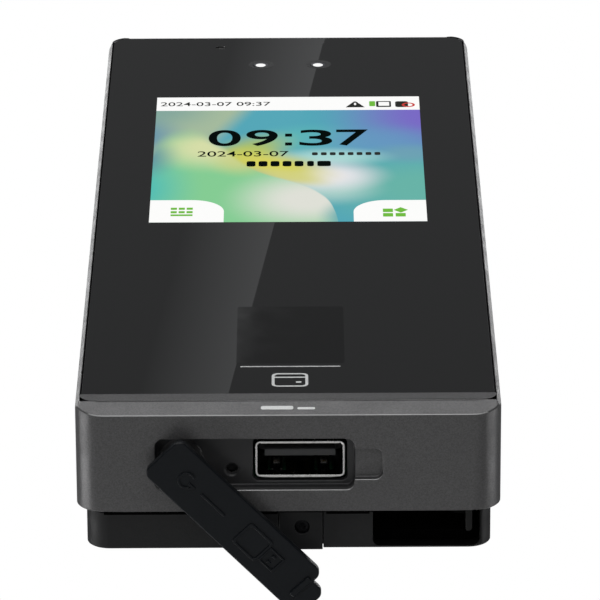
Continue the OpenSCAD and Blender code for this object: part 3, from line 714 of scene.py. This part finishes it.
def front_prints(looks):
    """The line under the fingerprint window, the card sign below it and the window itself."""
    ink = looks["front_print"]
    front_layer("print_line", [rounded(-7.05, 7.75, -66.85, -66.55, 0.14)], ink)
    left, right, bottom, top, stroke = -2.4, 2.95, -74.4, -69.3, 0.42
    card = [rounded(left, right, bottom, top, 0.95),
            rounded(left + stroke, right - stroke, bottom + stroke, top - stroke, 0.6)]
    front_layer("print_card_outline", card, ink)
    stripe = rounded(left + stroke, right - stroke, -71.05, -70.65, 0.0)
    front_layer("print_card_stripe", [stripe], ink)
    front_layer("print_card_dash", [rounded(1.15, 1.95, -72.95, -72.4, 0.12)], ink)
    half_w, half_h, middle_z = 8.0, 11.2, (FINGER_LOW.z + FINGER_HIGH.z) / 2
    pane = rounded(PRINT_X - half_w, PRINT_X + half_w, middle_z - half_h, middle_z + half_h, 0.5)
    front_layer("fingerprint_pane", [pane], looks["finger_glass"])


def chin_bar(looks):
    """Two plain pale bars printed on the sloping chin."""
    run, rise, sunk, thick = 3.4, 0.9, 0.004, 0.012
    slope = math.atan2(rise, run)
    stand = Matrix.Translation((0, GLASS_LOW.y + rise / 2, END_Z + run / 2))
    plane = stand @ Matrix.Rotation(slope, 4, "X") @ front_plane(-sunk)
    bars = [rounded(-3.95, 0.75, -0.42, 0.42, 0.3), rounded(1.35, 3.9, -0.42, 0.1, 0.2)]
    settle(plate("chin_bars", bars, plane, thick), "terminal", looks["front_print"])


def front_cameras(looks):
    """Each camera behind the glass: a grey mount ring, a dark lens and a glowing disc in it, a painted
    glint.
    """
    outer, inner, lens_r, glint_r = 2.15, 1.35, 1.34, 0.85
    for name in ("colour", "infrared"):
        low, high = box_mm(name + "_lens")
        x, z = (low.x + high.x) / 2, (low.z + high.z) / 2
        mount = [ring(x + 0.1, z + 0.35, outer), ring(x + 0.1, z + 0.35, inner)]
        front_layer(name + "_camera_ring", mount, looks["ring"])
        front_layer(name + "_camera_lens", [ring(x, z + 0.2, lens_r)], looks["lens_glass"])
        # Painted glint: a glowing white disc in the lens
        front_layer(name + "_camera_glint", [ring(x, z, glint_r)], looks["spot"], PANEL_Y)


# Half the width of the display's lit picture, its lower and upper edges, and the status bar's lower edge
PICTURE_W, PICTURE_LOW, PICTURE_HIGH, BAR_LOW = 22.0, -7.0, 51.8, 45.2

# The wallpaper's soft ovals of colour: centre x and z, half width and height, colour, strength, turn
DUSK = ((-23, 46, 14, 14, "7fa49c", 0.9, 0), (-26, 33, 11, 12, "5f90aa", 1.0, 0))
SKY = ((4, 31, 12, 9, "5cb8b4", 0.8, 0), (25, 43, 22, 26, "7868c4", 1.0, 0),
       (14, 30, 15, 10, "6596c0", 0.75, 0), (22, 8, 24, 22, "66b2a6", 1.0, 0),
       (20, 24, 9, 6, "6fa0b2", 0.75, 0), (-6.5, 25, 7.5, 13, "aabf68", 1.0, -32),
       (7, 22.5, 12, 5.5, "b8e2da", 0.75, 0), (7, 8, 10, 9, "b6d6ce", 0.8, 0),
       (6.5, 13.8, 11.5, 9, "e8e6ea", 0.97, 0), (-2.5, 19, 15, 7.5, "d4d05a", 1.0, -34),
       (0.5, 13.5, 9, 4, "d2d07a", 0.85, -32))
HILL = ((-26, 8, 13, 24, "4dbcb4", 1.0, 0), (-12.5, 27, 13, 13, "d8dda8", 0.95, 0),
        (-7.5, 21, 7, 9, "d0cf80", 0.7, 0), (-24.5, 23, 8, 13, "5f8ca0", 0.9, 0),
        (3, 3, 15, 17, "dedfd6", 1.0, 0), (10, -5, 6, 10, "62a9b0", 1.0, 0))
# The crest of the hill, as x and z from left to right
CREST = ((-22, 25), (-20, 31), (-17, 33.4), (-15, 33.2), (-13, 30.8), (-10.5, 26.3), (-9, 22.8),
         (-7.3, 19.4), (-5.3, 16.3), (-2.8, 13.8), (0, 11.6), (3.4, 8.3), (5, 5.8), (6.3, 3),
         (7.4, -2), (8, -8))


def smooth_step(paint, value, start, stop):
    """0 below start, 1 above stop and a smooth rise between them."""
    node = paint.nodes.new("ShaderNodeMapRange")
    node.interpolation_type = "SMOOTHSTEP"
    node.inputs["From Min"].default_value = start
    node.inputs["From Max"].default_value = stop
    paint.links.new(value, node.inputs["Value"])
    return node.outputs["Result"]


def blob(paint, under, x, z, wide, high, code, strength, turn):
    """A soft oval of colour on the wallpaper, centred at x, z, in millimetres."""
    place = paint.nodes.new("ShaderNodeMapping")
    place.vector_type = "TEXTURE"
    place.inputs["Location"].default_value = (x, 0, z)
    place.inputs["Rotation"].default_value = (0, math.radians(-turn), 0)
    place.inputs["Scale"].default_value = (wide, 1000, high)
    paint.links.new(paint.place, place.inputs["Vector"])
    length = paint.nodes.new("ShaderNodeVectorMath")
    length.operation = "LENGTH"
    paint.links.new(place.outputs[0], length.inputs[0])
    away = smooth_step(paint, length.outputs["Value"], 0.15, 1.0)
    near = paint.math("SUBTRACT", 1.0, away)
    return paint.mix(paint.math("MULTIPLY", near, strength), under, linear(code))


def blobs(paint, under, spots):
    """Several soft ovals, one over the other."""
    for spot in spots:
        under = blob(paint, under, *spot)
    return under


def crest_height(paint, x):
    """The height of the hill's crest above x, in millimetres."""
    width, low, rise = 2 * PICTURE_W, -10.0, 50.0
    node = paint.nodes.new("ShaderNodeFloatCurve")
    curve = node.mapping.curves[0]
    for index, (a, b) in enumerate(CREST):
        place = ((a + width / 2) / width, (b - low) / rise)
        if index < 2:
            curve.points[index].location = place
        else:
            curve.points.new(*place)
    curve.points[1].location = ((CREST[1][0] + width / 2) / width, (CREST[1][1] - low) / rise)
    node.mapping.update()
    paint.links.new(paint.span(x, 0.0, 1.0, -width / 2, width / 2), node.inputs["Value"])
    return paint.span(node.outputs["Value"], low, low + rise, 0.0, 1.0)


def wallpaper():
    """Soft colour fields: a pale hill low on the left under a blue and violet sky."""
    paint = Paint("display_wallpaper", (0.001, 0.001, 0.001), 0.06, Emission_Strength=1.0,
                  Specular_IOR_Level=0.02)
    split = paint.nodes.new("ShaderNodeSeparateXYZ")
    paint.links.new(paint.place, split.inputs[0])
    x, z = split.outputs["X"], split.outputs["Z"]
    slanted = paint.math("SUBTRACT", x, paint.math("MULTIPLY", z, 0.35))
    west = smooth_step(paint, slanted, -25.5, -20.5)
    dusk = blobs(paint, linear("a3b99c"), DUSK)
    sky = blobs(paint, paint.mix(west, dusk, linear("51a5b6")), SKY)
    hill = blobs(paint, linear("83cb92"), HILL)
    above = paint.math("SUBTRACT", z, crest_height(paint, x))
    softness = paint.span(x, 4.2, 0.55, -16, -5)
    inside = smooth_step(paint, paint.math("DIVIDE", above, softness), -1.0, 1.0)
    paint.links.new(paint.mix(inside, hill, sky), paint.shader.inputs["Emission Color"])
    paint.gloss(paint.noise(9, 4), 0.02, 0.06)
    return paint.material


def sign(name, loops, material, y=SIGN_Y):
    """A lit layer of the display's picture."""
    return front_layer(name, loops, material, y)


def glyphs(name, text, x_low, x_high, z_low, z_high, material, swell=0.0):
    """Digits of the clock or the date, filling the box that is given."""
    curve = bpy.data.curves.new(name, "FONT")
    curve.body = text
    curve.offset = swell
    holder = link(bpy.data.objects.new(name + "_curve", curve))
    mesh = mesh_of(holder)
    bpy.data.objects.remove(holder)
    xs = [vertex.co.x for vertex in mesh.vertices]
    ys = [vertex.co.y for vertex in mesh.vertices]
    low = Vector((min(xs), min(ys)))
    size = Vector((max(xs), max(ys))) - low
    for vertex in mesh.vertices:
        across = x_low + (vertex.co.x - low.x) / size.x * (x_high - x_low)
        up = z_low + (vertex.co.y - low.y) / size.y * (z_high - z_low)
        vertex.co = (across * MM, SIGN_Y * MM, up * MM)
    work = bmesh.new()
    work.from_mesh(mesh)
    bmesh.ops.remove_doubles(work, verts=work.verts, dist=WELD)
    body = bmesh.ops.extrude_face_region(work, geom=work.faces[:])
    lifted = [item for item in body["geom"] if isinstance(item, bmesh.types.BMVert)]
    bmesh.ops.translate(work, verts=lifted, vec=(0, -LAYER * MM, 0))
    work.to_mesh(mesh)
    work.free()
    return settle(finish_mesh(name, mesh), "terminal", material)


def blocks(name, spans, z_low, z_high, material, radius=0.2):
    """A row of small rounded blocks, each from one x to another."""
    sign(name, [rounded(a, b, z_low, z_high, radius, 4) for a, b in spans], material)


def row(start, count, width, pitch):
    """Spans of equal width, one every pitch."""
    return [(start + i * pitch, start + i * pitch + width) for i in range(count)]


def display():
    """The lit picture: wallpaper, status bar, clock, two corner tabs and their signs."""
    white = lit("display_white", linear("fdfdfc"))
    black = lit("display_black", linear("050d0c"), 0.9)
    grey = lit("display_grey", linear("2f312e"), 0.9)
    green = lit("display_green", linear("74c043"), 0.95)
    red = lit("display_red", linear("d0403c"), 0.95)
    wide = (-PICTURE_W, PICTURE_W)
    sign("display_picture", [rounded(*wide, PICTURE_LOW, PICTURE_HIGH, 0)], wallpaper(), PRINT_Y)
    sign("status_bar", [rounded(*wide, BAR_LOW, PICTURE_HIGH, 0)], white, PANEL_Y)
    tab_left = rounded(-PICTURE_W, -10.2, PICTURE_LOW, 2.9, [0, 5.2, 0, 0], 14)
    tab_right = rounded(10.4, PICTURE_W, PICTURE_LOW, 2.5, [0, 0, 5.2, 0], 14)
    sign("tab_left", [tab_left], white, PANEL_Y)
    sign("tab_right", [tab_right], white, PANEL_Y)
    clock(black, grey)
    status_signs(grey, green, red)
    tab_signs(green)


def clock(black, grey):
    """The time, the date and a row of plain marks under each."""
    low, high, colon = 27.9, 35.6, [(-0.5, 0.65)]
    digits = (("0", -13.1, -7.8), ("9", -6.9, -1.7), ("3", 1.85, 7.25), ("7", 7.95, 13.2))
    for index, (digit, start, stop) in enumerate(digits):
        glyphs("clock_digit_%d" % index, digit, start, stop, low, high, black, 0.012)
    blocks("clock_colon_low", colon, 28.05, 29.5, black, 0.1)
    blocks("clock_colon_high", colon, 32.3, 33.75, black, 0.1)
    glyphs("date_digits", "2024-03-07", -14.8, 0.1, 22.95, 25.45, black, 0.006)
    blocks("week_marks", row(3.9, 8, 0.95, 1.46), 23.35, 24.75, grey, 0.3)
    mode = row(-6.75, 5, 1.45, 1.95) + [(3.1, 4.2), (4.75, 6.95)]
    blocks("mode_marks", mode, 18.2, 20.7, black, 0.45)


def status_signs(grey, green, red):
    """Small digits and simple signs in the status bar."""
    glyphs("status_digits", "2024-03-07 09:37", -21.35, -2.95, 47.45, 49.4, grey, 0.006)
    triangle = [(9.6, 46.5), (12.85, 46.5), (11.4, 49.4), (11.05, 49.4)]
    slot = [(11.05, 47.6), (11.4, 47.6), (11.4, 48.7), (11.05, 48.7)]
    sign("status_triangle", [triangle, slot], grey)
    outline = [rounded(14.75, 17.25, 46.6, 49.5, 0.25), rounded(15.15, 16.95, 47.2, 49.1, 0.1)]
    sign("status_monitor", outline, grey)
    blocks("status_link", [(13.6, 14.6)], 47.0, 49.5, green, 0.2)
    blocks("status_folder", [(17.95, 20.1)], 46.5, 49.4, grey, 0.5)
    badge = [ring(20.15, 47.6, 1.1, 24), ring(20.15, 47.6, 0.7, 24)]
    sign("status_ring", badge, red, SIGN_Y - LAYER)


def tab_signs(green):
    """A keypad sign on the left tab and a menu sign on the right one."""
    left, right = -18.65, 15.05
    for index, (low, high) in enumerate(((-1.45, -0.5), (-3.0, -2.05))):
        blocks("keys_row_%d" % index, row(left, 3, 0.98, 1.26), low, high, green, 0.08)
    blocks("keys_bar", [(left, left + 3.5)], -4.25, -3.5, green, 0.08)
    blocks("menu_low", [(right, right + 1.6), (right + 2.0, right + 3.6)], -4.9, -3.35, green, 0.12)
    blocks("menu_high", [(right, right + 1.6)], -2.9, -1.35, green, 0.12)
    tip = [(right + 2.85, -3.15), (right + 4.0, -1.95), (right + 2.85, -0.75), (right + 1.7, -1.95)]
    sign("menu_diamond", [tip], green)


# ---------------------------------------------------------------- service port and rubber cover

def lug_shade(looks):
    """A black sheet in the slit between the bracket's lug and the rear cover, standing in for shade."""
    left, right, top_z, length = 4.9, 5.3, -77.0, 4.2
    pad = plate("lug_shade_sheet", [rounded(left, right, 0.75, 1.5, 0)], end_plane(top_z), length)
    settle(pad, "terminal", looks["shade_sheet"])


def seam_shade(looks):
    """Black strips where the rear cover enters the shell, a painted shadow along the seam."""
    back, front, sunk, thick = 5.72, 6.2, 0.05, 0.08
    for index, (left, right) in enumerate(((-27.0, -1.6), (5.5, 11.8))):
        outline = rounded(left, right, back, front, 0)
        shadow_strip = plate("seam_shadow_%d" % index, [outline], end_plane(REAR_END_Z + sunk), thick)
        settle(shadow_strip, "terminal", looks["shade_sheet"])


def mouth_shade(looks):
    """A black strip on the step inside the cable mouth, painted shade."""
    left, right, back, front, step_z, thick = 12.25, 28.0, 0.5, 2.15, -79.0, 0.3
    outline = rounded(left, right, back, front, 0.3)
    strip = plate("mouth_shade_sheet", [outline], end_plane(step_z), thick, 0.05, 1)
    settle(strip, "terminal", looks["shade_sheet"])


# The tongue's upper side below the top of the receptacle, and its thickness at the root
TONGUE_TOP, TONGUE_THICK = 1.9, 1.7


def usb_tongue(looks):
    """The plug's guide tongue, a narrow flat front with its lower edge cut well back, and its root."""
    top, front, back, half = USB_LOW.y + TONGUE_TOP, TONGUE_LOW.z, TONGUE_HIGH.z, 5.15
    low = top + TONGUE_THICK
    profile = [(top + 0.1, front), (top + 1.0, front), (top + 1.12, front + 0.12), (low, front + 2.4),
               (low, back), (top, back), (top, front + 0.12)]
    work = bmesh.new()
    sides = [[work.verts.new(Vector((x, y, z)) * MM) for y, z in profile]
             for x in (PORT_X - half, PORT_X + half)]
    for i in range(len(profile)):
        k = (i + 1) % len(profile)
        work.faces.new((sides[0][i], sides[0][k], sides[1][k], sides[1][i]))
    work.faces.new(sides[0])
    work.faces.new(sides[1][::-1])
    mesh = bpy.data.meshes.new("usb_tongue_cut")
    work.to_mesh(mesh)
    work.free()
    piece = finish_mesh("usb_tongue_cut", mesh)
    settle(piece, "terminal", looks["usb_plastic"])
    inset, length = 0.45, 4.0
    block = rounded(USB_LOW.x + inset, USB_HIGH.x - inset, -USB_HIGH.y + inset, -USB_LOW.y - inset, 0.5)
    root = plate("usb_insulator", [block], end_plane(back), length, 0.1, 2)
    settle(root, "terminal", looks["usb_plastic"])
    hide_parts("usb_tongue")


def usb_contacts(looks):
    """Four gold strips along the tongue's lower side, set back behind its cut front."""
    face = USB_LOW.y + TONGUE_TOP + TONGUE_THICK
    half, thick, set_back = 0.5, 0.12, 3.0
    back, length = TONGUE_HIGH.z, TONGUE_HIGH.z - TONGUE_LOW.z - set_back
    strips = [rounded(PORT_X + x - half, PORT_X + x + half, -face - thick, -face + 0.05, 0.05, 3)
              for x in (-3.5, -1.0, 1.0, 3.5)]
    piece = plate("usb_contact_strips", strips, end_plane(back), length, 0.02, 1)
    settle(piece, "terminal", looks["gold_contact"])
    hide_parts("usb_contacts")


SPRING_GAP = 6.9


def usb_springs(looks):
    """Two leaf springs on the lower wall of the port, which bow into it."""
    wall_y, half, thick = USB_HIGH.y - 0.4, 0.48, 0.14
    profile = [(1.2, 0.0), (1.8, 0.12), (2.3, 0.4), (2.5, 0.5), (2.62, 0.67), (2.8, 0.72),
               (3.6, 0.62), (4.6, 0.34), (5.6, 0.1), (6.2, 0.02)]
    for index, offset in enumerate((-SPRING_GAP / 2, SPRING_GAP / 2)):
        work = bmesh.new()
        rows = []
        for deep, rise in profile:
            y, z = wall_y - rise, USB_LOW.z + deep
            rows.append([work.verts.new(Vector((PORT_X + offset + side * half, y + dy, z)) * MM)
                         for side, dy in ((-1, 0), (1, 0), (1, -thick), (-1, -thick))])
        for first, second in zip(rows, rows[1:]):
            for k in range(4):
                work.faces.new((first[k], first[(k + 1) % 4], second[(k + 1) % 4], second[k]))
        work.faces.new(rows[0][::-1])
        work.faces.new(rows[-1])
        mesh = bpy.data.meshes.new("usb_spring_%d" % index)
        work.to_mesh(mesh)
        work.free()
        spring = finish_mesh("usb_spring_%d" % index, mesh, 50.0)
        settle(spring, "terminal", looks["spring"])


# The rubber cover: its turn, its outer and inner face, then along it from the stem its two ends,
# half its width, and the end and sides of its pull tab
FLAP_TURN = math.radians(46)
FLAP_FACE, FLAP_BACK = -86.4, -85.0
ROOT, TIP, FLAP_HALF, TAB_END, TAB_LOW, TAB_HIGH = -3.9, 25.7, 3.8, 28.2, -2.4, 1.8


def flap_plane(z):
    """Plane across the rubber cover: right runs from its stem to its tab, out is -Z."""
    turn = Matrix.Rotation(FLAP_TURN, 4, "Z")
    stand = Matrix.Translation((STEM_X, PORT_Y, 0))
    return stand @ turn @ end_plane(z)


def flap_outline():
    """The cover with its pull tab, as one outline with rounded inner and outer corners."""
    r, inner, steps = 1.3, 0.35, 8
    points = []
    arcs = [(ROOT + r, -FLAP_HALF + r, r, 180, 270), (TIP - r, -FLAP_HALF + r, r, 270, 360),
            (TIP + inner, TAB_LOW - inner, inner, 180, 90), (TAB_END - r, TAB_LOW + r, r, 270, 360),
            (TAB_END - r, TAB_HIGH - r, r, 0, 90), (TIP + inner, TAB_HIGH + inner, inner, 270, 180),
            (TIP - r, FLAP_HALF - r, r, 0, 90), (ROOT + r, FLAP_HALF - r, r, 90, 180)]
    for cx, cy, radius, first, last in arcs:
        for i in range(steps + 1):
            turn = math.radians(first + (last - first) * i / steps)
            points.append((cx + radius * math.cos(turn), cy + radius * math.sin(turn)))
    return points


def flap_mark(name, loops, material):
    """A low rounded relief on the cover's outer face."""
    sunk, height, edge = 0.02, 0.24, 0.09
    mark = plate(name, loops, flap_plane(FLAP_FACE + sunk), height, edge, 3)
    settle(mark, "usb_cover", material)


def arc_band(x, y, radius, width, first, last, steps=24):
    """Outline of a bent bar, a part of a ring."""
    outer = [(radius + width / 2, first + (last - first) * i / steps) for i in range(steps + 1)]
    inner = [(radius - width / 2, last - (last - first) * i / steps) for i in range(steps + 1)]
    return [(x + r * math.cos(math.radians(turn)), y + r * math.sin(math.radians(turn)))
            for r, turn in outer + inner]


def rubber_cover(looks):
    """The cover with its grip ridge, and a turn arrow, a bar and a plug outline in relief."""
    material = looks["cover_rubber"]
    body = plate("usb_cover_body", [flap_outline()], flap_plane(FLAP_BACK), FLAP_BACK - FLAP_FACE, 0.22, 4)
    settle(body, "usb_cover", material)
    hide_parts("usb_cover")
    grip = rounded(24.45, 25.45, -1.95, 1.95, 0.42)
    ridge = plate("usb_cover_ridge", [grip], flap_plane(FLAP_FACE + 0.1), 0.48, 0.22, 4)
    settle(ridge, "usb_cover", material)
    flap_mark("cover_mark_turn", [arc_band(1.3, 0, 1.15, 0.34, 60, 350)], material)
    flap_mark("cover_mark_arrow", [[(1.75, 0.1), (3.15, 0.1), (2.45, -0.85)]], material)
    flap_mark("cover_mark_bar", [rounded(4.3, 9.2, -0.2, 0.2, 0.15)], material)
    plug = [rounded(12.6, 17.4, -2.1, 2.1, 0.6), rounded(13.0, 17.0, -1.7, 1.7, 0.4)]
    flap_mark("cover_mark_plug", plug, material)
    shank = [rounded(17.4, 20.4, -1.4, 1.4, 0.2), rounded(17.7, 20.05, -1.1, 1.1, 0.15)]
    flap_mark("cover_mark_contact", shank, material)
    for index, low in enumerate((-0.75, 0.35)):
        flap_mark("cover_mark_slot_%d" % index, [rounded(18.5, 19.2, low, low + 0.4, 0.1)], material)


# ---------------------------------------------------------------- putting it together

def make_looks():
    """One material for each slot of the record, and a few more for the finer pieces."""
    return {
        "shell_metal": shell_paint(),
        "cover_glass": glass_black(),
        "display": film("display_glass", (0.02, 0.03, 0.03)),
        "front_print": print_ink("front_ink", (0.72, 0.73, 0.73)),
        "finger_glass": finger_window(),
        "lens_glass": lens_coating(),
        "rear_plastic": plastic("rear_plastic", (0.0095, 0.0098, 0.0108), 0.3, 0.035, (0.44, 0.56),
                                MOUTH_BOX),
        "cover_rubber": rubber("cover_rubber", (0.002, 0.0038, 0.0064)),
        "seal_rubber": rubber("seal_rubber", (0.006, 0.006, 0.007)),
        "usb_chrome": usb_plating(),
        "usb_plastic": plastic("usb_plastic", (0.11, 0.112, 0.115), 0.2, 0.01, (0.4, 0.52)),
        "gold_contact": metal("gold_contact", (0.83, 0.6, 0.24), (0.2, 0.34)),
        "bracket_steel": plastic("bracket_coat", (0.0085, 0.0088, 0.0098), 0.22, 0.02, (0.42, 0.55)),
        "black_screw": metal("black_screw", (0.02, 0.02, 0.022), (0.3, 0.45)),
        "screw_steel": metal("screw_steel", (0.5, 0.5, 0.49), (0.25, 0.4)),
        "black_tape": plastic("black_tape", (0.008, 0.008, 0.008), 0.6, 0.02, (0.7, 0.85)),
        "black_plastic": plastic("black_plastic", (0.015, 0.015, 0.016)),
        "tray_steel": metal("tray_steel", (0.55, 0.55, 0.54), (0.28, 0.42), (0.2, 1.0, 1.0)),
        "flex_film": film("flex_film", (0.35, 0.12, 0.02)),
        "circuit_board": circuit_board(),
        "copper": metal("copper", (0.72, 0.34, 0.19), (0.25, 0.4)),
        "led_resin": film("led_resin", (0.5, 0.5, 0.48)),
        "chip_resin": plastic("chip_resin", (0.014, 0.014, 0.015), 0.25, 0.02, (0.45, 0.6)),
        "ivory_plastic": plastic("ivory_plastic", (0.62, 0.58, 0.47), 0.5, 0.01, (0.38, 0.5)),
        "blue_plastic": plastic("blue_plastic", (0.015, 0.06, 0.28), 0.5, 0.01, (0.35, 0.48)),
        "capacitor_can": metal("capacitor_can", (0.6, 0.6, 0.6), (0.2, 0.32)),
        "speaker_film": plastic("speaker_film", (0.03, 0.03, 0.032), 0.3, 0.01, (0.3, 0.42)),
        "red_plastic": plastic("red_plastic", (0.4, 0.02, 0.015), 0.5, 0.01, (0.38, 0.5)),
        # Near-black sheet that stands in for shade in gaps and hollows
        "shade_sheet": shade_sheet(),
        "spring": port_spring(),
        "mic_mesh": plastic("mic_mesh", (0.012, 0.012, 0.012), 0.12, 0.05, (0.5, 0.6)),
        "ring": plastic("camera_ring", (0.03, 0.03, 0.031), 0.4, 0.002, (0.05, 0.1)),
        # A glowing white disc, the painted glint in each camera lens
        "spot": lit("camera_glint_light", (1.0, 1.0, 1.0)),
    }


def dress_nodes(looks):
    """Every CAD node gets its slot's material."""
    for name, node in NODES.items():
        node.data.materials.clear()
        node.data.materials.append(looks[SLOT_OF[name]])


# Nodes that keep their CAD shape with rounded edges, and the rounding's width in millimetres
ROUNDED_NODES = (("front_frame", 0.17), ("rear_cover", 0.12), ("wall_bracket", 0.1), ("usb_shell", 0.1),
                 ("security_screw", 0.08), ("cover_stem", 0.2), ("cover_screws", 0.08),
                 ("reset_switch", 0.06), ("wiring_headers", 0.06), ("tamper_plunger", 0.12))


def build():
    looks = make_looks()
    dress_nodes(looks)
    front_glass(looks)
    front_prints(looks)
    chin_bar(looks)
    front_cameras(looks)
    display()
    usb_tongue(looks)
    usb_contacts(looks)
    usb_springs(looks)
    rubber_cover(looks)
    mouth_shade(looks)
    lug_shade(looks)
    seam_shade(looks)
    for node, width in ROUNDED_NODES:
        softened(node, width, looks[SLOT_OF[node]])


make_camera()
make_studio()
build()
